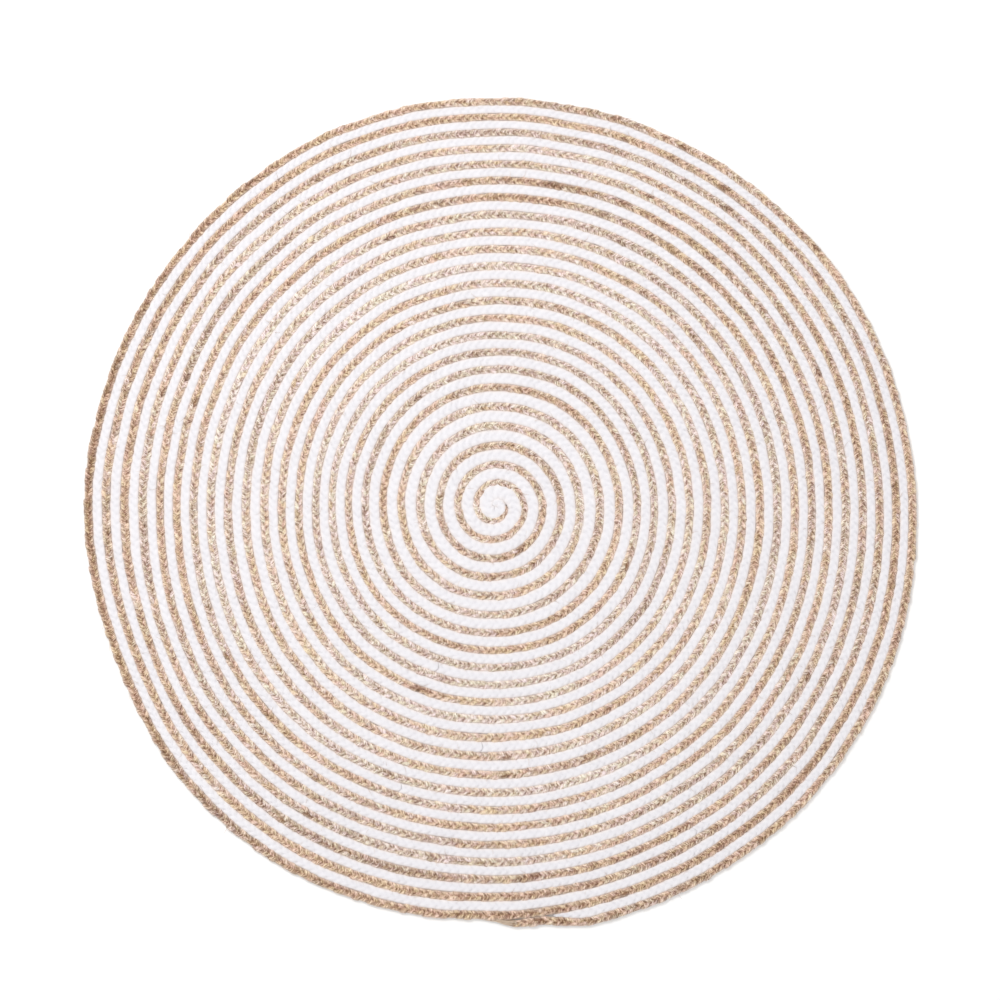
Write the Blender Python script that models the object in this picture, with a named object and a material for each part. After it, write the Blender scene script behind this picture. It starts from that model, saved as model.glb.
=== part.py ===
"""Round braided rug lying flat: a jute braid and a white cotton braid side by side in one spiral.

Metres, +Z up. The origin is on the floor under the middle of the rug. The two braids start
together at the core and wind outwards clockwise, as seen from above. Places along them are
counted in turns from the +X direction, so turn 2.25 is on the -Y side of the third turn.
"""

import math

import bpy

# Driving sizes.
FIRST_RADIUS = 0.0182  # from the core to the middle of the jute braid, at turn 0
FIRST_PITCH = 0.03384  # from one jute turn to the next, at the core
PITCH_CLOSING = 0.000085  # how the sewing tightens outwards: the pitch loses twice this a turn
COTTON_WIDTH = 0.0177
BRAID_HEIGHT = 0.009
SEAM_GAP = 0.0005
CORE_SLACK = 0.0002  # more room at the core, where the paths' straight steps are coarse
SLACK_END = 8  # by this turn the slack is gone
CORE_X = -0.00495  # the core lies off the middle, because the rug isn't quite round
CORE_Y = 0.0143

# Where the braids start and end, in turns.
JUTE_START = 0.045
JUTE_END = 23.245
SPIRAL_START = -0.5  # before this the cotton is doubled back on itself
COTTON_END = 22.225
CLOSING_START = 23.19  # here the last jute turn leaves the ending cotton
CLOSING_END = 23.238  # and from here it lies against the jute turn before it
TAIL_TAPER = 0.006  # length of the thinned tail, in turns
TAIL_THICKNESS = 0.5  # thickness at the very end, as a share of the braid's

# The sewn outline. Columns: direction in degrees clockwise from +X, reach as a share of the mean.
REACH = (
    (0, 0.997),
    (45, 1.015),
    (90, 1.018),
    (135, 1.027),
    (180, 0.993),
    (225, 0.984),
    (270, 0.982),
    (315, 0.985),
)

# How the last turns bulge and dip, more and more from turn RIM_START to turn RIM_FULL.
# Columns: direction in degrees clockwise from +X, further out.
RIM = (
    (0, 0.0000),
    (22.5, 0.0032),
    (45, 0.0010),
    (67.5, -0.0040),
    (90, 0.0004),
    (112.5, 0.0016),
    (135, -0.0020),
    (157.5, -0.0060),
    (180, 0.0066),
    (202.5, 0.0020),
    (225, 0.0010),
    (247.5, 0.0036),
    (270, -0.0030),
    (292.5, -0.0048),
    (315, -0.0028),
    (337.5, 0.0004),
)
RIM_START = 18.5
RIM_FULL = 22.4

# How the winding by hand strays from the even spiral.
# Columns: turn, further out, shift in X, shift in Y, jute's share of each pair of braids.
WINDING = (
    (0, -0.0018, -0.0038, -0.0045, 0.36),
    (3, -0.0002, -0.0043, -0.0031, 0.41),
    (6, 0.0040, -0.0020, 0.0005, 0.43),
    (9, 0.0002, 0.0000, 0.0018, 0.43),
    (12, -0.0020, 0.0013, 0.0023, 0.46),
    (15, -0.0004, 0.0009, 0.0013, 0.47),
    (18, -0.0005, 0.0011, 0.0022, 0.47),
    (21, -0.0004, 0.0005, 0.0002, 0.48),
    (24, 0.0009, -0.0014, -0.0043, 0.49),
)
WINDING_STEP = 3  # turns from each row to the next

# The cotton's start, doubled back on itself at the core.
# Columns: place from the core in X and in Y, share of the full width.
COTTON_CORE = (
    (-0.0069, 0.0003, 0.44),
    (-0.0012, 0.0019, 0.72),
    (0.0041, 0.0008, 0.48),
    (0.0060, -0.0048, 0.44),
    (0.0043, -0.0120, 0.66),
    (-0.0052, -0.0166, 0.93),
    (-0.0144, -0.0128, 1.00),
    (-0.0178, -0.0074, 1.06),
)
CORE_STEPS = 3  # stations from each row to the next

# How finely the paths are drawn. Columns: up to this turn, stations a turn.
STATIONS = (
    (22.17, 36),
    (22.26, 108),
    (23.17, 36),
    (24, 108),
)

# The braid's section from its underside up. Columns: share of its width, share of its height.
SECTION = (
    (0.36, 0.0),
    (-0.36, 0.0),
    (-0.5, 0.42),
    (0.0, 1.0),
    (0.5, 0.42),
)

# Linear colours.
JUTE_COLOUR = (0.61, 0.43, 0.31, 1.0)
COTTON_COLOUR = (0.90, 0.89, 0.91, 1.0)


def clear_scene():
    for obj in list(bpy.data.objects):
        bpy.data.objects.remove(obj, do_unlink=True)


def new_collection(name):
    collection = bpy.data.collections.new(name)
    bpy.context.scene.collection.children.link(collection)
    return collection


def cloth_material(name, colour, roughness):
    material = bpy.data.materials.new(name)
    material.use_nodes = True
    shader = material.node_tree.nodes["Principled BSDF"]
    shader.inputs["Base Color"].default_value = colour
    shader.inputs["Roughness"].default_value = roughness
    shader.inputs["Metallic"].default_value = 0.0
    material.diffuse_color = colour
    return material


def smooth_step(start, end, at):
    share = min(max((at - start) / (end - start), 0.0), 1.0)
    return share * share * (3 - 2 * share)


def through(before, first, last, after, share):
    """A smooth curve from first to last that heads the way its two neighbours point."""
    rise = (last - before) / 2
    fall = (after - first) / 2
    turn = first - last
    return first + share * (rise + share * (-3 * turn - 2 * rise - fall + share * (2 * turn + rise + fall)))


def all_round(table, turn):
    """The value for this turn's direction from a table that goes once round the rug."""
    place = (turn % 1) * len(table)
    row = int(place)
    values = [table[(row + step) % len(table)][1] for step in (-1, 0, 1, 2)]
    return through(*values, place - row)


def winding(turn, column):
    """A column of the WINDING table, read off smoothly. Before the first row it stays the same."""
    last = len(WINDING) - 1
    place = min(max(turn / WINDING_STEP, 0), last)
    row = min(int(place), last - 1)
    values = [WINDING[min(max(row + step, 0), last)][column] for step in (-1, 0, 1, 2)]
    return through(*values, place - row)


def paired_radius(turn):
    """The jute's radius as long as the cotton winds on beside it."""
    angle = -2 * math.pi * turn
    even = FIRST_RADIUS + FIRST_PITCH * turn - PITCH_CLOSING * turn * turn
    stray = winding(turn, 2) * math.cos(angle) + winding(turn, 3) * math.sin(angle)
    bulge = all_round(RIM, turn) * smooth_step(RIM_START, RIM_FULL, turn)
    return all_round(REACH, turn) * (even + winding(turn, 1)) + stray + bulge


def pair_width(turn):
    return paired_radius(turn + 1) - paired_radius(turn)


def jute_slot(turn):
    return winding(turn, 4) * pair_width(turn)


def tail_share(turn):
    """How thick the jute is, as a share of its full thickness: the tail thins out."""
    return TAIL_THICKNESS + (1 - TAIL_THICKNESS) * smooth_step(JUTE_END, JUTE_END - TAIL_TAPER, turn)


def jute_radius(turn):
    """Past the cotton's end the jute closes up on the turn before it."""
    closed = paired_radius(turn - 1) + (jute_slot(turn - 1) + tail_share(turn) * jute_slot(turn)) / 2
    closing = smooth_step(CLOSING_START, CLOSING_END, turn)
    return paired_radius(turn) + closing * (closed - paired_radius(turn))


def cotton_slot(turn):
    """The room that the jute turns on its two sides leave for the cotton."""
    return jute_radius(turn + 1) - jute_radius(turn) - (jute_slot(turn) + jute_slot(turn + 1)) / 2


def cotton_radius(turn):
    return jute_radius(turn) + (jute_slot(turn) + cotton_slot(turn)) / 2


def lean(radius_of, turn):
    """How much narrower a braid is than its slot along the radius, because it winds outwards."""
    step = 0.002
    outwards = radius_of(turn + step) - radius_of(turn - step)
    along = 4 * math.pi * step * radius_of(turn)
    return math.cos(math.atan2(outwards, along))


def seam_gap(turn):
    return SEAM_GAP + CORE_SLACK * smooth_step(SLACK_END, 0, turn)


def jute_width(turn):
    return tail_share(turn) * (jute_slot(turn) * lean(jute_radius, turn) - seam_gap(turn))


def cotton_width(turn):
    return cotton_slot(turn) * lean(cotton_radius, turn) - seam_gap(turn)


def turns_between(start, end):
    """The places of the stations. Both braids share them, so that their sides stay parallel."""
    places = [start]
    for up_to, per_turn in STATIONS:
        first = math.floor(places[-1] * per_turn + 1.5)
        last = math.ceil(min(up_to, end) * per_turn - 0.5)
        places += [station / per_turn for station in range(first, last)]
    return places + [end]


def spiral_stations(start, end, radius_of, width_of):
    """A braid's stations: place in X and in Y, width there."""
    stations = []
    for turn in turns_between(start, end):
        angle = -2 * math.pi * turn
        x = CORE_X + radius_of(turn) * math.cos(angle)
        y = CORE_Y + radius_of(turn) * math.sin(angle)
        stations.append((x, y, width_of(turn)))
    return stations


def core_stations(spiral):
    """The cotton's doubled start, from the COTTON_CORE table, up to the first spiral stations."""
    rows = [(CORE_X + x, CORE_Y + y, share * COTTON_WIDTH) for x, y, share in COTTON_CORE]
    rows = rows[:1] + rows + spiral[:2]
    stations = []
    for row in range(1, len(COTTON_CORE) + 1):
        columns = list(zip(*rows[row - 1 : row + 3]))
        for step in range(CORE_STEPS):
            stations.append([through(*column, step / CORE_STEPS) for column in columns])
    return stations


def ring(before, station, after, height):
    """The section's corners at a station, square to the way from the station before to the one after."""
    x, y, width = station
    angle = math.atan2(after[1] - before[1], after[0] - before[0])
    corners = []
    for across, up in SECTION:
        side = across * width
        corners.append((x - side * math.sin(angle), y + side * math.cos(angle), up * height))
    return corners


def braid(name, stations, heights, material, collection):
    """One braid: a ring of corners at each station, faces between the rings and one at each end."""
    around = len(SECTION)
    last = len(stations) - 1
    corners = []
    for number, (station, height) in enumerate(zip(stations, heights)):
        before = stations[max(number - 1, 0)]
        after = stations[min(number + 1, last)]
        corners += ring(before, station, after, height)
    faces = [tuple(range(around)), tuple(range(last * around, (last + 1) * around))[::-1]]
    for first in range(0, last * around, around):
        for corner in range(around):
            following = (corner + 1) % around
            faces.append(
                (first + corner, first + around + corner, first + around + following, first + following)
            )
    mesh = bpy.data.meshes.new(name)
    mesh.from_pydata(corners, [], faces)
    mesh.materials.append(material)
    obj = bpy.data.objects.new(name, mesh)
    collection.objects.link(obj)
    return obj


def build_rug():
    rug = new_collection("round_jute_rug")

    jute_stations = spiral_stations(JUTE_START, JUTE_END, jute_radius, jute_width)
    heights = [BRAID_HEIGHT * tail_share(turn) for turn in turns_between(JUTE_START, JUTE_END)]
    jute = cloth_material("jute", JUTE_COLOUR, 0.85)
    braid("jute_braid", jute_stations, heights, jute, rug)

    spiral = spiral_stations(SPIRAL_START, COTTON_END, cotton_radius, cotton_width)
    cotton_stations = core_stations(spiral) + spiral
    cotton = cloth_material("cotton", COTTON_COLOUR, 0.9)
    braid("cotton_braid", cotton_stations, [BRAID_HEIGHT] * len(cotton_stations), cotton, rug)


clear_scene()
build_rug()
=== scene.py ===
# %% [markdown]
# # A round rug of jute and cotton braid
#
# The rug is two braids lying side by side in one flat spiral: a brown one of jute and a wider
# one of white cotton. A maker plaits them first, metre after metre, and then winds them round
# each other from the middle outwards, sewing each turn to the one before it.
#
# The imported model has each braid as one long plain solid. This script dresses them: it lays a
# plaited skin along the same two spirals, gives it fibres and colour, and lights it softly, as a
# shop photo would be. We start by loading the imported model.

# %% Load the frame
import math

import bpy
import numpy as np
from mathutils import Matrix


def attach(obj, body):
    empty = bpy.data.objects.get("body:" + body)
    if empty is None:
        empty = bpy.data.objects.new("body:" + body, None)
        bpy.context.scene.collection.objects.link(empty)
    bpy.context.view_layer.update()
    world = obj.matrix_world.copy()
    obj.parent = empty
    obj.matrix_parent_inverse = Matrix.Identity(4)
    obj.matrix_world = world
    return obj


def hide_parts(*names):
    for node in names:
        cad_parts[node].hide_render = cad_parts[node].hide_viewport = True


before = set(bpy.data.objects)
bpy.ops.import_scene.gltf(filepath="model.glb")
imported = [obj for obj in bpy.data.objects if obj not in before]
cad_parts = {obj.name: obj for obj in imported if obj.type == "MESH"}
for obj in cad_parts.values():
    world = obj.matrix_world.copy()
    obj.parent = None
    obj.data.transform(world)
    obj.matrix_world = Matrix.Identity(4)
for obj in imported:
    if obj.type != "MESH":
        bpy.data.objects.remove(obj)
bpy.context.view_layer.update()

# %% [markdown]
# ## The camera
#
# The photo looks straight down on the rug, with hardly any perspective. A long lens high above
# the floor does that: the further the camera is, the more parallel its lines of sight are. We
# could also use an orthographic camera, but a long lens behaves like a real one in the other
# views. Two facts of the photo set it up: the size of a pixel on the rug, and the pixel where
# the two braids start.

# %% Place the camera above the rug
CORE_X = -0.00495
CORE_Y = 0.0143
PHOTO_SIDE = 1000
PIXEL = 0.001807
CORE_PIXEL_X = 497.5
CORE_PIXEL_Y = 503.5
CAMERA_HEIGHT = 8.0

camera_data = bpy.data.cameras.new("camera")
camera = bpy.data.objects.new("camera", camera_data)
bpy.context.scene.collection.objects.link(camera)
camera.location = (
    CORE_X + (PHOTO_SIDE / 2 - CORE_PIXEL_X) * PIXEL,
    CORE_Y - (PHOTO_SIDE / 2 - CORE_PIXEL_Y) * PIXEL,
    CAMERA_HEIGHT,
)
camera_data.lens = camera_data.sensor_width * CAMERA_HEIGHT / (PHOTO_SIDE * PIXEL)
camera_data.clip_end = 100
bpy.context.scene.camera = camera
print(f"a {camera_data.lens:.0f} mm lens, {CAMERA_HEIGHT} m up")

# %% [markdown]
# ## Floor and light
#
# The rug lies on a plain white floor. A white sky lights it from all sides at once, so that no
# hard shadow falls, and one wide lamp adds the little bit of direction that makes a plait look
# round. Blender's world colour is the simplest white sky there is.

# %% Make the floor and the light
FLOOR_SIDE = 40
FLOOR_DROP = 0.0002
FLOOR_COLOUR = (0.97, 0.97, 0.97, 1)
SKY_STRENGTH = 0.86
LAMP_PLACE = (-1.8, 2.2, 4.0)
LAMP_SIDE = 1.6
LAMP_POWER = 95


def new_shader(name, roughness):
    material = bpy.data.materials.new(name)
    material.use_nodes = True
    shader = material.node_tree.nodes["Principled BSDF"]
    shader.inputs["Roughness"].default_value = roughness
    return material, shader


floor_material, floor_shader = new_shader("plain floor", roughness=1.0)
floor_shader.inputs["Base Color"].default_value = FLOOR_COLOUR
floor_shader.inputs["Specular IOR Level"].default_value = 0
bpy.ops.mesh.primitive_plane_add(size=FLOOR_SIDE, location=(0, 0, -FLOOR_DROP))
floor = bpy.context.object
floor.name = "floor"
floor.data.materials.append(floor_material)

world = bpy.data.worlds.new("white sky")
bpy.context.scene.world = world
world.use_nodes = True
world.node_tree.nodes["Background"].inputs["Color"].default_value = (1, 1, 1, 1)
world.node_tree.nodes["Background"].inputs["Strength"].default_value = SKY_STRENGTH

lamp_data = bpy.data.lights.new("wide lamp", "AREA")
lamp_data.size = LAMP_SIDE
lamp_data.energy = LAMP_POWER
lamp = bpy.data.objects.new("wide lamp", lamp_data)
bpy.context.scene.collection.objects.link(lamp)
lamp.location = LAMP_PLACE
lamp.rotation_euler = (-lamp.location).to_track_quat("-Z", "Y").to_euler()
bpy.context.scene.view_settings.view_transform = "Standard"
print("floor, sky and lamp are in place")

# %% [markdown]
# ## The two spirals
#
# Both braids follow one growing circle. Each full turn is about 32 mm further out than the one
# before it, which is one jute braid and one cotton braid. The outline isn't quite round, so a
# small table says how far it reaches in eight directions, and a second one how the last turns
# bulge and dip besides. A third says how the winding strays from the even spiral, every third
# turn.
#
# A place along the spiral is counted in turns: 2.25 turns is a quarter of the way round the
# third turn. These are the sizes of the solids, except at the rim. There the solids have to keep
# clear of each other, while real braid is soft: its last turn can close up in a shorter bend.

# %% Sizes of the spirals
FIRST_RADIUS = 0.0182
FIRST_PITCH = 0.03384
PITCH_CLOSING = 0.000085
JUTE_START = 0.045
JUTE_END = 23.245
SPIRAL_START = -0.5
COTTON_END = 22.229
CLOSING_START = 23.214
CLOSING_END = 23.2345
TAIL_DRIFT = 0.002
TAIL_TAPER = 0.006
TAIL_THICKNESS = 0.5

# How far out the rug reaches, as a share of the mean, every 45 degrees clockwise from +X.
REACH = np.array((0.997, 1.015, 1.018, 1.027, 0.993, 0.984, 0.982, 0.985))

# How the last turns bulge and dip besides, every 22.5 degrees.
RIM = np.array((
    *(0.0000, 0.0032, 0.0010, -0.0040, 0.0004, 0.0016, -0.0020, -0.0060),
    *(0.0066, 0.0020, 0.0010, 0.0036, -0.0030, -0.0048, -0.0028, 0.0004),
))
RIM_START = 18.5
RIM_FULL = 22.4

# Columns: turn, further out, shift in X, shift in Y, jute's share of each pair of braids.
WINDING = np.array((
    (0, -0.0018, -0.0038, -0.0045, 0.36),
    (3, -0.0002, -0.0043, -0.0031, 0.41),
    (6, 0.0040, -0.0020, 0.0005, 0.43),
    (9, 0.0002, 0.0000, 0.0018, 0.43),
    (12, -0.0020, 0.0013, 0.0023, 0.46),
    (15, -0.0004, 0.0009, 0.0013, 0.47),
    (18, -0.0005, 0.0011, 0.0022, 0.47),
    (21, -0.0004, 0.0005, 0.0002, 0.48),
    (24, 0.0009, -0.0014, -0.0043, 0.49),
))
WINDING_STEP = 3

print("the jute winds on for", round(JUTE_END - JUTE_START, 1), "turns")

# %% [markdown]
# ## Smooth curves through short tables
#
# A few rows are enough for a shape made by hand, if a smooth curve runs through them. This one
# passes through every row and heads there the way its two neighbours point. A table that goes
# once round the rug joins its own start. We write everything for whole arrays of places at a
# time, because numpy then works out a hundred thousand points in one go.

# %% Curves
def smooth_step(start, end, at):
    """0 up to start, 1 from end on, and a soft rise between them."""
    share = np.clip((at - start) / (end - start), 0, 1)
    return share * share * (3 - 2 * share)


def through(before, first, last, after, share):
    """A smooth curve from first to last that heads the way its two neighbours point."""
    rise = (last - before) / 2
    fall = (after - first) / 2
    turn = first - last
    return first + share * (rise + share * (-3 * turn - 2 * rise - fall + share * (2 * turn + rise + fall)))


def all_round(table, turn):
    """The value for each turn's direction from a table that goes once round the rug."""
    place = (turn % 1) * len(table)
    row = place.astype(int)
    return through(*(table[(row + step) % len(table)] for step in (-1, 0, 1, 2)), place - row)


def winding(turn, column):
    """A column of the WINDING table, read off smoothly. Before the first row it stays the same."""
    last = len(WINDING) - 1
    place = np.clip(turn / WINDING_STEP, 0, last)
    row = np.minimum(place.astype(int), last - 1)
    values = [WINDING[np.clip(row + step, 0, last), column] for step in (-1, 0, 1, 2)]
    return through(*values, place - row)


print("reach halfway between two rows:", all_round(REACH, np.array([1 / 16])).round(3))

# %% [markdown]
# ## Where each braid lies
#
# The jute leads. Its radius is the even spiral, stretched to the outline, shifted and bulged as
# the tables say. The cotton has no sizes of its own: it fills the room between two turns of jute.
# That is how the rug is made too, since the sewing pulls each soft turn up against the last one.
#
# Where the cotton has ended, the jute closes up on the turn before it. Its very tip drifts off
# again, because nothing presses it there.

# %% Radii of the two braids
def paired_radius(turn):
    """The jute's radius as long as the cotton winds on beside it."""
    angle = -2 * math.pi * turn
    even = FIRST_RADIUS + FIRST_PITCH * turn - PITCH_CLOSING * turn * turn
    stray = winding(turn, 2) * np.cos(angle) + winding(turn, 3) * np.sin(angle)
    bulge = all_round(RIM, turn) * smooth_step(RIM_START, RIM_FULL, turn)
    return all_round(REACH, turn) * (even + winding(turn, 1)) + stray + bulge


def jute_slot(turn):
    return winding(turn, 4) * (paired_radius(turn + 1) - paired_radius(turn))


def tail_share(turn):
    """How wide the jute is, as a share of its full width: the tail thins out."""
    return TAIL_THICKNESS + (1 - TAIL_THICKNESS) * smooth_step(JUTE_END, JUTE_END - TAIL_TAPER, turn)


def jute_radius(turn):
    closed = paired_radius(turn - 1) + (jute_slot(turn - 1) + jute_slot(turn)) / 2
    closing = smooth_step(CLOSING_START, CLOSING_END, turn)
    drift = TAIL_DRIFT * smooth_step(CLOSING_END, JUTE_END, turn)
    return paired_radius(turn) + closing * (closed - paired_radius(turn)) + drift


def cotton_slot(turn):
    return jute_radius(turn + 1) - jute_radius(turn) - (jute_slot(turn) + jute_slot(turn + 1)) / 2


def cotton_radius(turn):
    return jute_radius(turn) + (jute_slot(turn) + cotton_slot(turn)) / 2


def spiral_place(turn, radius):
    angle = -2 * math.pi * turn
    return CORE_X + radius * np.cos(angle), CORE_Y + radius * np.sin(angle)


rim = paired_radius(np.array([22.25, 22.5, 22.75, 23.0]))
print("the last jute turn's radius in mm:", np.round(1000 * rim))

# %% [markdown]
# ## From spiral to route
#
# A plait has the same length everywhere, so we need places counted in metres of braid and not
# in turns. A route holds many close points along one braid, and for each of them how far along
# it lies, how wide the braid is, and which way is outwards. Anything in between is read off
# with a straight line, which numpy's interp does. The jute starts as a thin end and grows to its
# full width within its first quarter turn.

# %% The jute's route
ROUTE_STEP = 0.0005  # turns
START_TAPER = 0.22
START_SHARE = 0.35


def route_of(x, y, width):
    """For each close point of a braid: how far along it is, its place, width and outward side."""
    along = np.concatenate([[0], np.cumsum(np.hypot(np.diff(x), np.diff(y)))])
    ahead_x = np.gradient(x, along)
    ahead_y = np.gradient(y, along)
    size = np.hypot(ahead_x, ahead_y)
    out_x = -ahead_y / size
    out_y = ahead_x / size
    return {"along": along, "x": x, "y": y, "width": width, "out_x": out_x, "out_y": out_y}


def spiral_points(start, end, radius_of, slot_of):
    """Turn, place in X and in Y, and width. A braid that winds outwards lies aslant in its slot."""
    turn = np.arange(start, end, ROUTE_STEP)
    x, y = spiral_place(turn, radius_of(turn))
    lean = np.gradient(radius_of(turn), turn) / (2 * math.pi * radius_of(turn))
    return turn, x, y, slot_of(turn) * np.cos(np.arctan(lean))


def jute_room(turn):
    tapered = START_SHARE + (1 - START_SHARE) * smooth_step(JUTE_START, JUTE_START + START_TAPER, turn)
    return tapered * tail_share(turn) * jute_slot(turn)


jute_turn, *jute_points = spiral_points(JUTE_START, JUTE_END, jute_radius, jute_room)
jute_route = route_of(*jute_points)
print(f"jute {jute_route['along'][-1]:.2f} m")

# %% [markdown]
# ## The hairpin at the core
#
# The white braid starts in the middle, doubled back on itself. Eight rows hold that little
# hairpin: where it lies and how wide it is there. Its soft yarn swells into every gap that the
# plain solids leave open, so each row also has a number for how much plumper it is here. After
# the last row the route runs on into the spiral, whose first turn is a bit plumper too.

# %% The cotton's route
COTTON_WIDTH = 0.0177
COTTON_CORE = np.array((
    (-0.0069, 0.0003, 0.44),
    (-0.0012, 0.0019, 0.72),
    (0.0041, 0.0008, 0.48),
    (0.0060, -0.0048, 0.44),
    (0.0043, -0.0120, 0.66),
    (-0.0052, -0.0166, 0.93),
    (-0.0144, -0.0128, 1.00),
    (-0.0178, -0.0074, 1.06),
))
CORE_PLUMP = np.array((1.9, 1.1, 1.8, 2.2, 1.9, 1.55, 1.45, 1.35))
CORE_STEPS = 16
CORE_JOIN = 0.03  # turns of the spiral that guide the curve out of the hairpin
START_REACH = 0.004
SPIRAL_PLUMP = 0.35
PLUMP_FULL = -0.2
PLUMP_END = 0.4


def core_points(x, y, width):
    """The hairpin at the core, up to the first points of the spiral."""
    step = int(CORE_JOIN / ROUTE_STEP)
    rows = COTTON_CORE * (1, 1, COTTON_WIDTH) + (CORE_X, CORE_Y, 0)
    rows[:, 2] *= CORE_PLUMP
    rows[0, 0] -= START_REACH
    onwards = np.stack([x, y, width], 1)[: step + 1 : step]
    rows = np.concatenate([rows[:1], rows, onwards])
    share = np.arange(CORE_STEPS)[:, None] / CORE_STEPS
    return np.concatenate([through(*rows[first : first + 4], share) for first in range(len(COTTON_CORE))])


def cotton_room(turn):
    return cotton_slot(turn) * (1 + SPIRAL_PLUMP * smooth_step(PLUMP_END, PLUMP_FULL, turn))


cotton_turn, *spiral = spiral_points(SPIRAL_START, COTTON_END, cotton_radius, cotton_room)
cotton_route = route_of(*np.concatenate([core_points(*spiral).T, np.stack(spiral)], 1))
print(f"cotton {cotton_route['along'][-1]:.2f} m")

# %% [markdown]
# ## What a plait looks like
#
# Look at a hand-plaited braid from above and you see two columns of slanting lobes, left and
# right, half a lobe out of step. Each lobe is a strand that comes over from the edge and dives
# under the other column in the middle. We could sweep three real strands round each other, but
# most of their surface would be hidden inside. One skin with the lobes pressed into it shows
# the same and needs far fewer faces.
#
# The skin is made of rings. A ring doesn't run straight across: it follows the slant of the
# strands, so that the grooves between lobes fall exactly on rings. The table is half a ring,
# from the middle of the top to the middle of the underside. Its columns are the place across
# and up, the slant, which is how far the strand has run on in plaits, and how much of a groove
# there is. The grooves are deepest where the strands dive in beside the middle line. At the
# edge, where a braid is pressed against the next one, there are hardly any.

# %% The ring of a braid
HALF_RING = (
    (0.00, 0.94, 0.00, 0.6),
    (0.38, 1.00, 0.12, 1.0),
    (0.76, 0.92, 0.24, 0.5),
    (1.00, 0.68, 0.36, 0.2),
    (0.74, 0.05, 0.52, 0.5),
    (0.00, 0.00, 0.80, 0.7),
)
left_half = [(-across, *others) for across, *others in HALF_RING[-2:0:-1]]
RING = np.array([*HALF_RING, *left_half])
ACROSS, UP, LAG, GROOVED = RING.T
MIDDLE_UP = 0.46
ON_MIDDLE = ACROSS == 0
ON_LEFT = (ACROSS < 0).astype(int)

print(len(RING), "points in a ring, slanting over", LAG.max(), "plaits")

# %% [markdown]
# ## Nothing lies quite straight
#
# Braids are springy and sewn by hand, so the rings of a real rug wander a little. If we moved
# each braid by itself, neighbours would come apart or run into each other. So we bend the
# ground under all of them instead: a few wide waves with random directions push every point a
# little sideways, and points that touch are pushed alike.

# %% Waves that shift the whole rug a little
UNEVEN_SEED = 11
WAVE_COUNT = 28
SHORT_WAVE = 0.05
LONG_WAVE = 0.35
WAVE_PUSH = 0.0011

random = np.random.default_rng(UNEVEN_SEED)
wave_length = SHORT_WAVE * (LONG_WAVE / SHORT_WAVE) ** random.uniform(0, 1, WAVE_COUNT)
wave_angle = random.uniform(0, 2 * math.pi, WAVE_COUNT)
wave_start = random.uniform(0, 2 * math.pi, WAVE_COUNT)
push_angle = random.uniform(0, 2 * math.pi, WAVE_COUNT)
wave_size = WAVE_PUSH * np.sqrt(2 / WAVE_COUNT) * (wave_length / LONG_WAVE) ** 0.5


def shifted(x, y):
    """The same places after all the waves have pushed them."""
    new_x = x.copy()
    new_y = y.copy()
    for length, angle, start, push, size in zip(wave_length, wave_angle, wave_start, push_angle, wave_size):
        wave = size * np.sin(2 * math.pi * (x * math.cos(angle) + y * math.sin(angle)) / length + start)
        new_x += wave * math.cos(push)
        new_y += wave * math.sin(push)
    return new_x, new_y


probe = np.linspace(-0.7, 0.7, 500)
moved = shifted(probe, probe * 0)[1]
print(f"a straight row of points now wanders by {1000 * np.ptp(moved):.1f} mm")

# %% [markdown]
# ## No two lobes are alike
#
# Hands never make two lobes the same. Each one gets its own fullness, its own depth of groove and
# its own amount of shadow in that groove, and the plaits come a little sooner or later than an
# even beat. The random numbers are drawn once for the whole braid from a fixed seed, so that the
# rug is the same on each run.

# %% Random changes from lobe to lobe
SPARE_PLAITS = 8  # more lobes than plaits, since a ring reaches on past its own plait
DEPTH_CHANGE = 0.25
SHADOW_RANGE = (0.35, 1.25)
TIMING_CHANGE = 0.2
TIMING_STEPS = 8  # a plait
TIMING_EVERY = 17


def smooth_random(random, count, every):
    """A value for each of count places that wanders smoothly between about -1 and 1."""
    knots = random.uniform(-1, 1, count // every + 3)
    place = np.arange(count) / every
    row = place.astype(int)
    ease = smooth_step(0, 1, place - row)
    return knots[row] * (1 - ease) + knots[row + 1] * ease


def lobe_variation(seed, plaits, uneven):
    random = np.random.default_rng(seed)
    count = plaits + SPARE_PLAITS
    return {
        "fullness": 1 + uneven * random.uniform(-1, 1, (2, count)),
        "depth": 1 + DEPTH_CHANGE * random.uniform(-1, 1, (2, count)),
        "timing": TIMING_CHANGE * smooth_random(random, TIMING_STEPS * count, TIMING_EVERY),
        "shadow": random.uniform(*SHADOW_RANGE, (2, count)),
    }


print("a plait comes up to", TIMING_CHANGE, "plaits sooner or later than an even beat")

# %% [markdown]
# ## Plaiting
#
# Now the braid itself. For every ring we know how many plaits along it is. That gives the place
# on the route, the shape of the ring there, and whether each side is on a lobe or in a groove.
# A groove pulls the skin in towards the middle of the braid, on the sides as well as on top and
# underneath, and the middle line swings over to the side whose lobe is on top. The very ends of
# the braid draw in, so that they don't look cut with scissors.

# %% The plaiting functions
GROOVE_SHARPNESS = 2.6
GROOVE_DEPTH = 0.55
CENTRE_SWING = 0.16
END_ROUNDING = 0.006
END_SHARE = 0.7


def groove(plait):
    """1 in the groove between two lobes, 0 on the back of a lobe."""
    return (0.5 + 0.5 * np.cos(2 * math.pi * plait)) ** GROOVE_SHARPNESS


def grooves_at(plait):
    """How deep in a groove each point of each ring is, and how far the middle line swings."""
    right = groove(plait)[:, None]
    left = groove(plait + 0.5)[:, None]
    own_side = np.where(ON_LEFT, left, right)
    depth = GROOVED * np.where(ON_MIDDLE, np.maximum(right, left), own_side)
    return depth, CENTRE_SWING * (right - left) * ON_MIDDLE * np.sign(UP - MIDDLE_UP)


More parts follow.
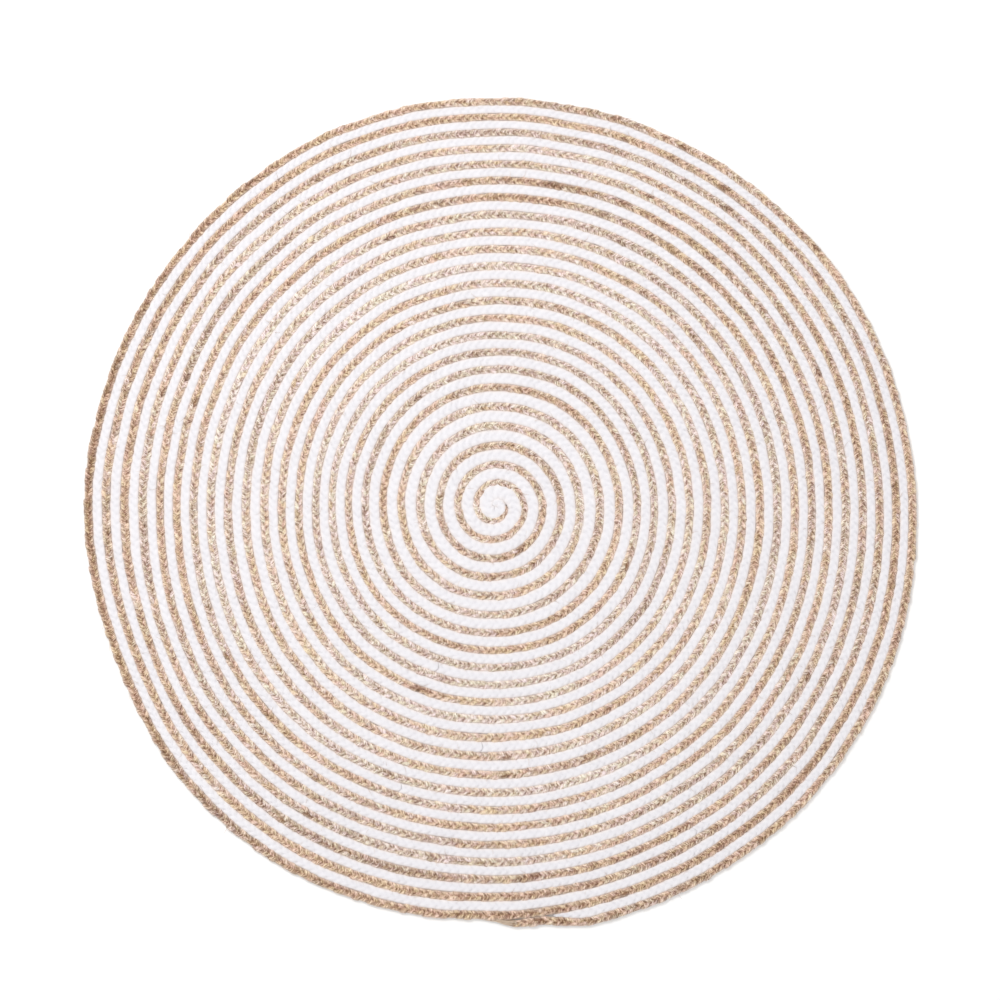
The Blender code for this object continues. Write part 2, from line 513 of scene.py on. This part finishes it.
def section_at(plait, style, variation):
    """Each ring's points across and up, as shares of the braid's size, and the shadow on them."""
    grooved, swing = grooves_at(plait)
    lobe = (plait[:, None] + 0.5 * ON_LEFT).astype(int)
    own = {key: variation[key][ON_LEFT, lobe] for key in ("fullness", "depth", "shadow")}
    full = np.where(ON_MIDDLE, 1, own["fullness"] * (1 - grooved) + grooved)
    depth = GROOVE_DEPTH * grooved * np.where(ON_MIDDLE, 1, own["depth"])
    across = ACROSS * (1 - style["pinch"] * grooved) * full + swing
    up = (UP - MIDDLE_UP) * (1 - depth) * full
    return across, up, np.clip(grooved * own["shadow"], 0, 1)


def end_rounding(route, at):
    """1 along the braid and less within END_ROUNDING of its ends."""
    to_end = np.clip(np.minimum(at, route["along"][-1] - at) / END_ROUNDING, 0, 1)
    return END_SHARE + (1 - END_SHARE) * np.sqrt(to_end * (2 - to_end))


def ring_points(route, style, plait, variation):
    """All the points of these rings. plait is each ring's place in plaits from the braid's start."""
    timing = np.interp(plait, np.arange(len(variation["timing"])) / TIMING_STEPS, variation["timing"])
    along = (plait[:, None] + timing[:, None] + LAG) * style["pitch"]
    at = np.clip(along, 0, route["along"][-1])
    columns = ("x", "y", "width", "out_x", "out_y")
    x, y, width, out_x, out_y = (np.interp(at, route["along"], route[column]) for column in columns)
    across, up, shadow = section_at(plait, style, variation)
    rounding = end_rounding(route, at)
    sideways = across * rounding * style["snug"] * width / 2
    x, y = shifted(x + sideways * out_x, y + sideways * out_y)
    height = style["height"] * (MIDDLE_UP + up * rounding)
    return np.stack([x, y, np.clip(height, 0, None)], 2), shadow


print("grooves go", GROOVE_DEPTH, "of the way to the middle of the braid")

# %% [markdown]
# ## From rings to a mesh
#
# Four points make a face: two next to each other on one ring and the same two on the next ring.
# numpy writes all the faces at once, and Blender takes the whole list in one go with
# foreach_set, which is far quicker than adding them one by one. The two ends are closed with
# one face each, so that every length of braid is a solid thing. The order of a face's corners
# decides which way it looks, and all of these look outwards.

# %% Mesh functions
def ring_faces(rings, around):
    """Quads between neighbouring rings, then one face on each end."""
    corner = np.arange(around)
    following = (corner + 1) % around
    first = np.arange(rings - 1)[:, None] * around
    corners = (first + corner, first + corner + around, first + following + around, first + following)
    return np.stack(corners, 2).reshape(-1, 4), corner, corner[::-1] + (rings - 1) * around


def new_mesh(name, points, quads, *ends):
    mesh = bpy.data.meshes.new(name)
    corners = np.concatenate([quads.ravel(), *ends])
    sizes = np.array([4] * len(quads) + [len(end) for end in ends])
    mesh.vertices.add(len(points))
    mesh.vertices.foreach_set("co", points.astype(np.float32).ravel())
    mesh.loops.add(len(corners))
    mesh.loops.foreach_set("vertex_index", corners.astype(np.int32))
    mesh.polygons.add(len(sizes))
    mesh.polygons.foreach_set("loop_start", (np.cumsum(sizes) - sizes).astype(np.int32))
    mesh.update(calc_edges=True)
    mesh.shade_smooth()
    return mesh


def add_values(mesh, name, domain, values):
    layer = mesh.attributes.new(name, "FLOAT", domain)
    layer.data.foreach_set("value", values.astype(np.float32).ravel())


def add_uv(mesh, name, across, along, spare):
    """A UV layer from each quad corner's two coordinates. The spare corners, on the ends, stay at 0."""
    flat = np.stack([across.ravel(), along.ravel()], 1)
    flat = np.concatenate([flat, np.zeros((spare, 2))])
    mesh.uv_layers.new(name=name).data.foreach_set("uv", flat.astype(np.float32).ravel())


print("each ring of a braid adds", 2 * len(RING), "triangles")

# %% [markdown]
# ## What the materials will ask for
#
# The mesh carries more than its shape. A layer of UV coordinates runs with the strands: across
# them and along them, in metres, so that fibres can be drawn in their real size. Each face knows
# the tone of its own strand. Each point knows how much shade is painted on it in its groove and
# how near the edge of the braid. A second UV layer lays the whole skin out flat in rows, so that
# the colours can be painted onto a picture later.

# %% One length of braid
GIRTH_SHARE = 2.6  # the way round the skin, as a share of the braid's width
COLUMNS_APART = 7  # metres between the two columns of lobes, so that their fibres look unalike
EDGE_POWER = 3
NUDGE = 1e-6  # keeps a whole number of plaits from being rounded down
BAKE_ROWS = 16
BAKE_MARGIN = 0.06
ROW_MARGIN = 0.01
LEFT_FACES = ((np.sign(ACROSS) + np.sign(np.roll(ACROSS, -1))) < 0).astype(int)


def corner_places(plait):
    """For each corner of each quad: its place round the ring, from 0 to 1, and along, in plaits."""
    shape = (len(plait) - 1, len(RING), 4)
    girth = np.arange(len(RING) + 1) / len(RING)
    round_ring = np.stack([girth[:-1], girth[:-1], girth[1:], girth[1:]], 1)
    onwards = np.stack([plait[:-1], plait[1:], plait[1:], plait[:-1]], 1)
    return np.broadcast_to(round_ring[None], shape), np.broadcast_to(onwards[:, None], shape)


def add_tones(mesh, plait, tones):
    """Each quad gets its lobe's values, and the two ends get those of a quad beside them."""
    lobe = (plait[:-1, None] + 0.5 * LEFT_FACES + NUDGE).astype(int)
    for layer, values in tones.items():
        of_faces = values[LEFT_FACES, lobe].ravel()
        add_values(mesh, layer, "FACE", np.concatenate([of_faces, of_faces[:1], of_faces[-1:]]))


def add_strand_uv(mesh, route, style, plait):
    """Metres across the strands and along them. The two columns of lobes lie far apart."""
    round_ring, onwards = corner_places(plait)
    left = LEFT_FACES[:, None]
    along = round_ring * GIRTH_SHARE * route["width"].max() + COLUMNS_APART * left
    add_uv(mesh, "strand", (onwards + 0.5 * left) * style["pitch"], along, 2 * len(RING))


def add_flat_uv(mesh, plait):
    """The skin laid out flat in BAKE_ROWS rows."""
    round_ring = corner_places(plait)[0]
    quad = np.arange(len(plait) - 1)
    quads_a_row = math.ceil(len(quad) / BAKE_ROWS)
    row = (quad // quads_a_row)[:, None, None]
    in_row = (quad % quads_a_row)[:, None, None] + np.array([0, 1, 1, 0])
    flat_x = np.broadcast_to(ROW_MARGIN + (1 - 2 * ROW_MARGIN) * in_row / quads_a_row, round_ring.shape)
    flat_y = (row + BAKE_MARGIN + (1 - 2 * BAKE_MARGIN) * round_ring) / BAKE_ROWS
    add_uv(mesh, "OFBake", flat_x, flat_y, 2 * len(RING))
    mesh.uv_layers.active = mesh.uv_layers["OFBake"]


def braid_length(name, route, style, first, last, variation, tones):
    """The braid from its first to its last plait, as a new object."""
    plait = np.arange(first * style["steps"], last * style["steps"] + 1) / style["steps"]
    points, shadow = ring_points(route, style, plait, variation)
    quads, *ends = ring_faces(len(plait), len(RING))
    mesh = new_mesh(name, points.reshape(-1, 3), quads, *ends)
    # the shade painted into each groove, which the materials read
    add_values(mesh, "groove", "POINT", shadow)
    add_values(mesh, "edge", "POINT", np.resize(np.abs(ACROSS) ** EDGE_POWER, shadow.shape))
    add_tones(mesh, plait, tones)
    add_strand_uv(mesh, route, style, plait)
    add_flat_uv(mesh, plait)
    braid = bpy.data.objects.new(name, mesh)
    bpy.context.scene.collection.objects.link(braid)
    return braid


print(LEFT_FACES.sum(), "of", len(RING), "faces round the braid belong to its left column")

# %% [markdown]
# ## How the two braids are plaited
#
# The jute has stiff, uneven lobes and deep grooves, the soft cotton full ones that hardly show.
# The numbers are a plait's length, the braid's height, how many rings a plait has, how tightly
# the braid is pressed into its slot, how far grooves draw in its sides, and how uneven its lobes
# are. A braid ends with a whole plait, so each plait is made a trace longer or shorter.

# %% Two styles of plait
JUTE = {"pitch": 0.0149, "height": 0.0092, "steps": 8, "snug": 1.05, "pinch": 0.35, "uneven": 0.17}
COTTON = {"pitch": 0.0146, "height": 0.0090, "steps": 4, "snug": 1.11, "pinch": 0.10, "uneven": 0.05}
TOP_LAG = 0.3  # plaits that the top of the last ring reaches on


def whole_plaits(route, style):
    """How many plaits fit, after making each a trace longer or shorter so that they fit exactly."""
    length = route["along"][-1]
    plaits = round(length / style["pitch"] - TOP_LAG)
    style["pitch"] = length / (plaits + TOP_LAG)
    return plaits


jute_plaits = whole_plaits(jute_route, JUTE)
cotton_plaits = whole_plaits(cotton_route, COTTON)
print(jute_plaits, "jute plaits and", cotton_plaits, "cotton plaits")

# %% [markdown]
# ## The tone of every strand
#
# Jute is a plant fibre and no two bundles are alike: pale straw next to warm brown, with a dark
# bit of bark now and then. A braid has three strands, so every third lobe is the same strand
# and has nearly the same tone, which drifts slowly along the length. We work the tones out here,
# two numbers for each lobe, and leave it to the material to turn them into colours: tone is how
# light the lobe is and warmth how reddish, both about 0.5.

# %% Tones for both braids
STRANDS = 3
STRAND_EVERY = 14
COMMON_EVERY = 60
COMMON_SHARE = 0.65
DARK_CHANCE = 0.004
BARK_RANGE = (0.6, 1)
WARMTH_WAVES = ((45, 0.9), (11, 0.8))  # plaits from knot to knot, size
WARMTH_DRIFT = 0.62
WARMTH_OWN = 0.3


def strand_tones(seed, plaits, drift, own, dark):
    """drift is how far the tone wanders, own how far each lobe strays, dark how dark bark is."""
    random = np.random.default_rng(seed)
    count = plaits + SPARE_PLAITS
    strands = np.array([smooth_random(random, count, STRAND_EVERY) for strand in range(STRANDS)])
    common = smooth_random(random, count, COMMON_EVERY)
    warmth = sum(size * smooth_random(random, count, every) for every, size in WARMTH_WAVES)
    lobe = np.arange(count)
    tone = []
    for side in (0, 1):
        strand = strands[(lobe + 2 * side) % STRANDS, lobe]
        side_tone = 0.5 + drift * (strand + COMMON_SHARE * common) + own * random.normal(0, 1, count)
        bark = random.uniform(*BARK_RANGE, count)
        side_tone -= dark * bark * (random.uniform(0, 1, count) < DARK_CHANCE)
        tone.append(side_tone)
    redness = 0.5 + WARMTH_DRIFT * warmth + WARMTH_OWN * random.normal(0, 1, (2, count))
    return {"tone": np.array(tone), "warmth": redness}


jute_tones = strand_tones(seed=3, plaits=jute_plaits, drift=0.12, own=0.06, dark=0.5)
cotton_tones = strand_tones(seed=4, plaits=cotton_plaits, drift=0.12, own=0.12, dark=0.0)
print("jute tones from", jute_tones["tone"].min().round(2), "to", jute_tones["tone"].max().round(2))

# %% [markdown]
# ## New fibre as the rug grows
#
# Nobody plaits 58 metres from one bundle: new jute is spliced in again and again, and it may be
# paler, browner or greyer than the last. In this rug the middle is pale and the last turns are
# brown. A table says how the jute changes, with a row wherever it turns. A few knots and bits of
# bark stand out as dark spots, so they have their own rows.

# %% Stretches and spots of the jute
# Columns: turn, how much lighter, how much warmer.
JUTE_TREND = np.array((
    (0.0, 0.00, -0.20),
    (1.7, 0.00, -0.65),
    (2.6, 0.00, -0.20),
    (4.3, 0.02, -0.35),
    (4.8, -0.06, 0.10),
    (5.3, 0.00, -0.15),
    (9.5, 0.05, -0.20),
    (11.2, 0.05, -0.10),
    (11.8, 0.12, -0.60),
    (12.4, 0.08, -0.20),
    (13.6, 0.09, -0.20),
    (14.2, -0.03, 0.00),
    (15.7, 0.06, -0.15),
    (16.2, -0.05, 0.05),
    (18.2, -0.04, 0.05),
    (18.8, 0.00, -0.20),
    (19.7, 0.00, -0.50),
    (20.2, -0.09, 0.20),
    (21.8, -0.11, 0.20),
    (22.2, -0.14, 0.50),
    (22.5, -0.30, 0.70),
    (22.7, -0.13, 0.35),
    (23.2, -0.12, 0.50),
))

# Columns: turn, how many plaits long, how much darker.
DARK_SPOTS = (
    (2.156, 1, 0.35),
    (10.310, 2, 0.50),
    (17.778, 4, 0.25),
    (20.233, 3, 0.30),
    (20.852, 1, 0.45),
    (21.846, 1, 0.50),
)

lobe_along = np.arange(jute_plaits + SPARE_PLAITS) * JUTE["pitch"]
lobe_turn = np.interp(lobe_along, jute_route["along"], jute_turn)
for layer, column in (("tone", 1), ("warmth", 2)):
    jute_tones[layer] += np.interp(lobe_turn, JUTE_TREND[:, 0], JUTE_TREND[:, column])
for turn, long, darker in DARK_SPOTS:
    first = int(np.searchsorted(lobe_turn, turn)) - long // 2
    jute_tones["tone"][:, first : first + long] -= darker
print(len(DARK_SPOTS), "dark spots, mean tone", jute_tones["tone"].mean().round(2))

# %% [markdown]
# ## Small tools for materials
#
# A material is a graph: nodes that make or mix values, and links between them. Written out one by
# one, such a graph is long and hard to read, so we first make short functions for the few kinds
# of node we need. The most useful one draws streaks. A noise texture makes them when its
# coordinates are squeezed: many cells across the strand and few along it.

# %% Node functions
def add_node(tree, kind, **values):
    """A new node. Values named after a socket set it, the others set the node's own settings."""
    node = tree.nodes.new(kind)
    for name, value in values.items():
        if hasattr(node, name):
            setattr(node, name, value)
        else:
            node.inputs[name].default_value = value
    return node


def feed(tree, value, socket):
    """Sets the socket to a value, or links it where the value is another node's output."""
    if isinstance(value, (int, float, tuple)):
        socket.default_value = value
    else:
        tree.links.new(value, socket)


def streaks(tree, across, along, detail):
    """Noise with this many cells a metre across the strands and along them."""
    place = add_node(tree, "ShaderNodeUVMap", uv_map="strand")
    squeeze = add_node(tree, "ShaderNodeMapping", Scale=(across, along, 1))
    noise = add_node(tree, "ShaderNodeTexNoise", Scale=1.0, Detail=detail, Roughness=0.6)
    feed(tree, place.outputs["UV"], squeeze.inputs["Vector"])
    feed(tree, squeeze.outputs["Vector"], noise.inputs["Vector"])
    return noise.outputs["Fac"]


def value_of(tree, layer):
    return add_node(tree, "ShaderNodeAttribute", attribute_name=layer).outputs["Fac"]


def math_node(tree, operation, first, second):
    node = add_node(tree, "ShaderNodeMath", operation=operation)
    feed(tree, first, node.inputs[0])
    feed(tree, second, node.inputs[1])
    return node.outputs[0]


def centred(tree, noise, strength):
    """The noise about 0 instead of about a half, made stronger."""
    return math_node(tree, "MULTIPLY", math_node(tree, "SUBTRACT", noise, 0.5), strength)


def mixed(tree, factor, first, second, blend="MIX"):
    node = add_node(tree, "ShaderNodeMix", data_type="RGBA", blend_type=blend, clamp_factor=True)
    for number, value in ((0, factor), (6, first), (7, second)):
        feed(tree, value, node.inputs[number])
    return node.outputs[2]


def add_bump(tree, shader, height, distance):
    bump = add_node(tree, "ShaderNodeBump", Strength=1.0, Distance=distance)
    feed(tree, height, bump.inputs["Height"])
    feed(tree, bump.outputs["Normal"], shader.inputs["Normal"])


print("node functions are ready")

# %% [markdown]
# ## Jute
#
# The colour of a jute strand comes from its tone, and on top of it from streaks that run with
# the fibres: fine ones for single fibres and broader ones for bundles. Other streaks tint it,
# since some stretches are rather pink and others olive. Towards the braid's edge a pale fuzz
# lies over it. The grooves get painted shade, because little light gets in and the fibres'
# shaded sides show, and short dark specks are darkened the same way. The fine streaks also lift
# the surface a little, so that the light catches single fibres.

# %% The jute material
JUTE_DARK = (0.26, 0.155, 0.095, 1)
JUTE_MIDDLE = (0.77, 0.62, 0.52, 1)
JUTE_PALE = (0.99, 0.93, 0.88, 1)
JUTE_WARM = (0.98, 0.86, 0.72, 1)
JUTE_PINK = (1.0, 0.925, 1.0, 1)
JUTE_OLIVE = (0.975, 1.005, 0.88, 1)
JUTE_SHADE_AND_SPECKS = (0.24, 0.125, 0.07, 1)
JUTE_FUZZ = (0.95, 0.85, 0.77, 1)
MIDDLE_AT = 0.42
PALE_AT = 0.86

# Cells a metre across the strands, cells a metre along them, detail.
FINE_FIBRES = (900, 70, 3)
BUNDLES = (420, 160, 2)
STRAND_HUE = (70, 60, 3)
STRETCH_HUE = (12, 2, 4)
SPECKS = (620, 140, 1)

FINE_STRENGTH = 2.6
BUNDLE_STRENGTH = 2.0
STRAND_HUE_STRENGTH = 3.4
STRETCH_HUE_STRENGTH = 3.0
SPECK_LEVEL = 0.42
SPECK_STRENGTH = 9.0
MOST_SHADE = 0.9
FUZZ_SHARE = 0.5
FIBRE_RELIEF = 0.0010

jute_material, jute_shader = new_shader("jute fibre", roughness=0.78)
tree = jute_material.node_tree
fine = streaks(tree, *FINE_FIBRES)
tone = value_of(tree, "tone")
tone = math_node(tree, "ADD", tone, centred(tree, streaks(tree, *BUNDLES), BUNDLE_STRENGTH))
tone = math_node(tree, "ADD", tone, centred(tree, fine, FINE_STRENGTH))
ramp = add_node(tree, "ShaderNodeValToRGB")
ramp.color_ramp.elements[0].color = JUTE_DARK
ramp.color_ramp.elements[1].color = JUTE_PALE
ramp.color_ramp.elements[1].position = PALE_AT
ramp.color_ramp.elements.new(MIDDLE_AT).color = JUTE_MIDDLE
feed(tree, tone, ramp.inputs["Fac"])
colour = mixed(tree, value_of(tree, "warmth"), ramp.outputs["Color"], JUTE_WARM, "MULTIPLY")

hue = centred(tree, streaks(tree, *STRAND_HUE), STRAND_HUE_STRENGTH)
hue = math_node(tree, "ADD", hue, centred(tree, streaks(tree, *STRETCH_HUE), STRETCH_HUE_STRENGTH))
tint = mixed(tree, math_node(tree, "ADD", hue, 0.5), JUTE_PINK, JUTE_OLIVE)
colour = mixed(tree, 1.0, colour, tint, "MULTIPLY")
fuzz = math_node(tree, "MULTIPLY", value_of(tree, "edge"), FUZZ_SHARE)
colour = mixed(tree, fuzz, colour, JUTE_FUZZ)

# Painted shade in the grooves and short dark specks both pull the colour towards a dark brown.
specks = math_node(tree, "SUBTRACT", SPECK_LEVEL, streaks(tree, *SPECKS))
specks = math_node(tree, "MINIMUM", math_node(tree, "MULTIPLY", specks, SPECK_STRENGTH), MOST_SHADE)
shade = math_node(tree, "MULTIPLY", value_of(tree, "groove"), MOST_SHADE)
shade = math_node(tree, "MAXIMUM", shade, specks)
colour = mixed(tree, shade, colour, JUTE_SHADE_AND_SPECKS, "MULTIPLY")
feed(tree, colour, jute_shader.inputs["Base Color"])
jute_shader.inputs["Specular IOR Level"].default_value = 0.3
add_bump(tree, jute_shader, fine, FIBRE_RELIEF)
print("jute material:", len(tree.nodes), "nodes")

# %% [markdown]
# ## Cotton
#
# The white braid is soft cotton yarn. It is nearly white all over, so its plaits show mostly by their
# shading, and a little painted shade darkens the grooves. We keep the colour almost even, a trace
# cooler than the jute. Only its edges are warmer, a painted reflection of light that comes back
# from the jute beside it. A little sheen brightens the slanting surfaces, as fine hairs do.

# %% The cotton material
COTTON_WHITE = (0.855, 0.835, 0.862, 1)
COTTON_SHADE = (0.79, 0.77, 0.80, 1)
COTTON_PAINTED_SHADE = (0.80, 0.79, 0.81, 1)
COTTON_EDGE_REFLECTION = (1.0, 0.93, 0.86, 1)
YARN = (620, 60, 3)  # cells a metre across the strands, cells a metre along them, detail
COTTON_PAINTED_SHADE_SHARE = 0.35
YARN_RELIEF = 0.0007

cotton_material, cotton_shader = new_shader("cotton yarn", roughness=0.92)
tree = cotton_material.node_tree
yarn = streaks(tree, *YARN)
tone = math_node(tree, "ADD", value_of(tree, "tone"), math_node(tree, "SUBTRACT", yarn, 0.5))
colour = mixed(tree, tone, COTTON_SHADE, COTTON_WHITE)
# Painted shade in the grooves of the plait.
shade = math_node(tree, "MULTIPLY", value_of(tree, "groove"), COTTON_PAINTED_SHADE_SHARE)
colour = mixed(tree, shade, colour, COTTON_PAINTED_SHADE, "MULTIPLY")
# Painted reflection: the edges get a warm tint, as from light thrown back by the jute beside them.
colour = mixed(tree, value_of(tree, "edge"), colour, COTTON_EDGE_REFLECTION, "MULTIPLY")
feed(tree, colour, cotton_shader.inputs["Base Color"])
cotton_shader.inputs["Specular IOR Level"].default_value = 0.2
cotton_shader.inputs["Sheen Weight"].default_value = 0.25
cotton_shader.inputs["Sheen Roughness"].default_value = 0.5
add_bump(tree, cotton_shader, yarn, YARN_RELIEF)
print("cotton material:", len(tree.nodes), "nodes")

# %% [markdown]
# ## Both braids, length by length
#
# Sixty metres of plait is too much for one mesh, and no maker plaits it in one go either. So
# each braid is made in six lengths that follow on without a gap. All lengths of a braid together
# stand for its one plain solid.

# %% Plait all the lengths
LENGTHS = 6
JUTE_SEED = 21
COTTON_SEED = 22


def plait_braid(name, route, style, plaits, seed, tones, material):
    variation = lobe_variation(seed, plaits, style["uneven"])
    made = []
    bounds = [round(plaits * number / LENGTHS) for number in range(LENGTHS + 1)]
    for number, (first, last) in enumerate(zip(bounds, bounds[1:]), 1):
        braid = braid_length(f"{name}_{number}", route, style, first, last, variation, tones)
        braid.data.materials.append(material)
        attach(braid, "root")
        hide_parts(name)
        made.append(braid)
    return made


jute_lengths = plait_braid(
    "jute_braid", jute_route, JUTE, jute_plaits, JUTE_SEED, jute_tones, jute_material
)
cotton_lengths = plait_braid(
    "cotton_braid", cotton_route, COTTON, cotton_plaits, COTTON_SEED, cotton_tones, cotton_material
)
for piece in jute_lengths + cotton_lengths:
    print(piece.name, 2 * len(piece.data.polygons), "triangles")

# %% [markdown]
# ## The shape of a loose fibre
#
# Jute is a hairy yarn: ends of fibre stick out of the braid and lie across its neighbours. Each
# one here is a thin tube with three sides that gets thinner towards its tip. Hair curves would
# be quicker to draw, but a mesh goes with the rug wherever it is used. All paths are worked out
# together as arrays, one row for each fibre, which makes thousands of them in a moment.

# %% Fibre functions
FIBRE_STEPS = 4
FIBRE_SIDES = 3
TIP_THINNING = 0.7


def fibre_roots(along, share):
    """Where fibres start, and which way is ahead. share is the place across, from -1 to 1."""
    place = {key: np.interp(along, jute_route["along"], jute_route[key]) for key in jute_route}
    side = share * place["width"] / 2
    x, y = shifted(place["x"] + side * place["out_x"], place["y"] + side * place["out_y"])
    return x, y, np.arctan2(-place["out_x"], place["out_y"])


def fibre_points(x, y, low, high, heading, bend, length, radius, lift):
    """Rings of three points along each fibre, from its root at low to its tip at high."""
    share = np.linspace(0, 1, FIBRE_STEPS + 1)
    turned = (heading[:, None] + bend[:, None] * share)[:, :, None]
    step = (length / FIBRE_STEPS)[:, None, None]
    path_x = x[:, None, None] + step * (np.cumsum(np.cos(turned), 1) - np.cos(turned[:, :1]))
    path_y = y[:, None, None] + step * (np.cumsum(np.sin(turned), 1) - np.sin(turned[:, :1]))
    rise = low[:, None] + (high - low)[:, None] * share + lift[:, None] * np.sin(math.pi * share)
    thick = (radius[:, None] * (1 - TIP_THINNING * share))[:, :, None]
    around = -2 * math.pi * np.arange(FIBRE_SIDES) / FIBRE_SIDES
    path_x = path_x - thick * np.cos(around) * np.sin(turned)
    path_y = path_y + thick * np.cos(around) * np.cos(turned)
    path_z = rise[:, :, None] + thick * np.sin(around)
    return np.stack([path_x, path_y, path_z], 3)


print("a fibre has", (FIBRE_STEPS + 1) * FIBRE_SIDES, "points")

# %% [markdown]
# ## Fibres all over the jute
#
# Each fibre starts somewhere on the braid's back, heads more or less along the braid, forwards
# or backwards, and bends to one side. Its tip comes to rest on top of the rug.

# %% Scatter the fibres
FIBRE_SEED = 31
FIBRE_COUNT = 2100
FIBRE_REST = 0.0094
END_CLEARANCE = 0.05
ROOT_SHARE = (0.3, 1.0)
ROOT_HEIGHT = 0.96
ROOT_FALL = 0.3  # how much lower the roots at the braid's edge are
OUTWARD_TURN = (0.25, 0.3)  # mean and spread
BEND_SPREAD = 0.9
FIBRE_LENGTH = (0.006, 0.018)
FIBRE_RADIUS = (0.00018, 0.00042)
FIBRE_LIFT = (0.0, 0.0010)

random = np.random.default_rng(FIBRE_SEED)
jute_metres = jute_route["along"][-1]
root_along = random.uniform(END_CLEARANCE, jute_metres - END_CLEARANCE, FIBRE_COUNT)
root_side = random.choice((-1, 1), FIBRE_COUNT)
root_share = root_side * random.uniform(*ROOT_SHARE, FIBRE_COUNT)
backwards = random.integers(0, 2, FIBRE_COUNT)
root_x, root_y, ahead = fibre_roots(root_along, root_share)
outwards = root_side * (1 - 2 * backwards) * random.normal(*OUTWARD_TURN, FIBRE_COUNT)
loose = fibre_points(
    root_x,
    root_y,
    low=JUTE["height"] * (ROOT_HEIGHT - ROOT_FALL * root_share**2),
    high=np.full(FIBRE_COUNT, FIBRE_REST),
    heading=ahead + math.pi * backwards + outwards,
    bend=random.normal(0, BEND_SPREAD, FIBRE_COUNT),
    length=random.uniform(*FIBRE_LENGTH, FIBRE_COUNT),
    radius=random.uniform(*FIBRE_RADIUS, FIBRE_COUNT),
    lift=random.uniform(*FIBRE_LIFT, FIBRE_COUNT),
)
print(len(loose), "loose fibres")

# %% [markdown]
# ## The wisp at the tail
#
# At the rug's rim the jute simply ends. There its strands come loose in a wisp that clings to
# the turn before it. The fibres of the wisp are the same thin tubes, but thicker and longer, and
# they start low in the end of the braid. Those from its outer side turn in more.

# %% Draw the wisp
WISP_COUNT = 190
WISP_SHARE = (-0.9, 0.8)
WISP_BACK = (0.001, 0.020)
WISP_LOW = (0.003, 0.0086)
WISP_DROP = 0.6
WISP_TURN = 0.10
OUTER_TURN = 0.12
WISP_BEND = 0.16
OUTER_BEND = 0.25
WISP_BEND_SPREAD = 0.05
WISP_LENGTH = (0.020, 0.066)
WISP_RADIUS = (0.0004, 0.0007)

wisp_share = random.uniform(*WISP_SHARE, WISP_COUNT)
wisp_along = jute_metres - random.uniform(*WISP_BACK, WISP_COUNT)
wisp_x, wisp_y, ahead = fibre_roots(wisp_along, wisp_share)
wisp_low = random.uniform(*WISP_LOW, WISP_COUNT)
outer = (wisp_share + 1) / 2
wisp = fibre_points(
    wisp_x,
    wisp_y,
    low=wisp_low,
    high=WISP_DROP * wisp_low,
    heading=ahead - WISP_TURN - OUTER_TURN * outer,
    bend=-WISP_BEND - OUTER_BEND * outer + random.normal(0, WISP_BEND_SPREAD, WISP_COUNT),
    length=random.uniform(*WISP_LENGTH, WISP_COUNT),
    radius=random.uniform(*WISP_RADIUS, WISP_COUNT),
    lift=np.zeros(WISP_COUNT),
)
print(len(wisp), "fibres in the wisp")

# %% [markdown]
# ## One mesh for all the fibres
#
# Thousands of objects would be slow to work with, so all the fibres go into one mesh. Each has
# one tone from brown to straw, and the wisp is a little paler. In the flat layer each fibre has
# a small square of its own. The fibres belong to the jute braid and stand for it together with
# its skin, but they are no cloth, so they aren't declared as a sheet.

# %% Join the fibres
FIBRE_BROWN = (0.42, 0.26, 0.16, 1)
FIBRE_STRAW = (0.86, 0.72, 0.58, 1)
MOST_TONE = 0.8
WISP_PALER = 0.3
CELLS_A_ROW = 50
CELL_MARGIN = 0.1

fibre_material, fibre_shader = new_shader("loose jute fibre", roughness=0.6)
tree = fibre_material.node_tree
feed(tree, mixed(tree, value_of(tree, "tone"), FIBRE_BROWN, FIBRE_STRAW), fibre_shader.inputs["Base Color"])

count = FIBRE_COUNT + WISP_COUNT
quads, *ends = ring_faces(FIBRE_STEPS + 1, FIBRE_SIDES)
first_points = np.arange(count) * (FIBRE_STEPS + 1) * FIBRE_SIDES
mesh = new_mesh(
    "jute_braid_fibres",
    np.concatenate([loose, wisp]).reshape(-1, 3),
    (quads + first_points[:, None, None]).reshape(-1, 4),
    *[end + first for first in first_points for end in ends],
)
tone = random.uniform(0, MOST_TONE, count)
tone[FIBRE_COUNT:] += WISP_PALER
add_values(mesh, "tone", "FACE", np.concatenate([np.repeat(tone, len(quads)), np.repeat(tone, 2)]))

ring_at = np.repeat(np.arange(FIBRE_STEPS), FIBRE_SIDES)[:, None] + np.array([0, 1, 1, 0])
side_at = np.tile(np.arange(FIBRE_SIDES), FIBRE_STEPS)[:, None] + np.array([0, 0, 1, 1])
cell = np.arange(count)[:, None, None]
in_cell = 1 - 2 * CELL_MARGIN
across = (cell % CELLS_A_ROW + CELL_MARGIN + in_cell * side_at / FIBRE_SIDES) / CELLS_A_ROW
along = (cell // CELLS_A_ROW + CELL_MARGIN + in_cell * ring_at / FIBRE_STEPS) / CELLS_A_ROW
add_uv(mesh, "OFBake", across, along, 2 * FIBRE_SIDES * count)
mesh.uv_layers.active = mesh.uv_layers["OFBake"]

fibres = bpy.data.objects.new("jute_braid_fibres", mesh)
bpy.context.scene.collection.objects.link(fibres)
fibres.data.materials.append(fibre_material)
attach(fibres, "root")
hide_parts("jute_braid")
print(count, "fibres,", count * 2 * (len(quads) + 1), "triangles")
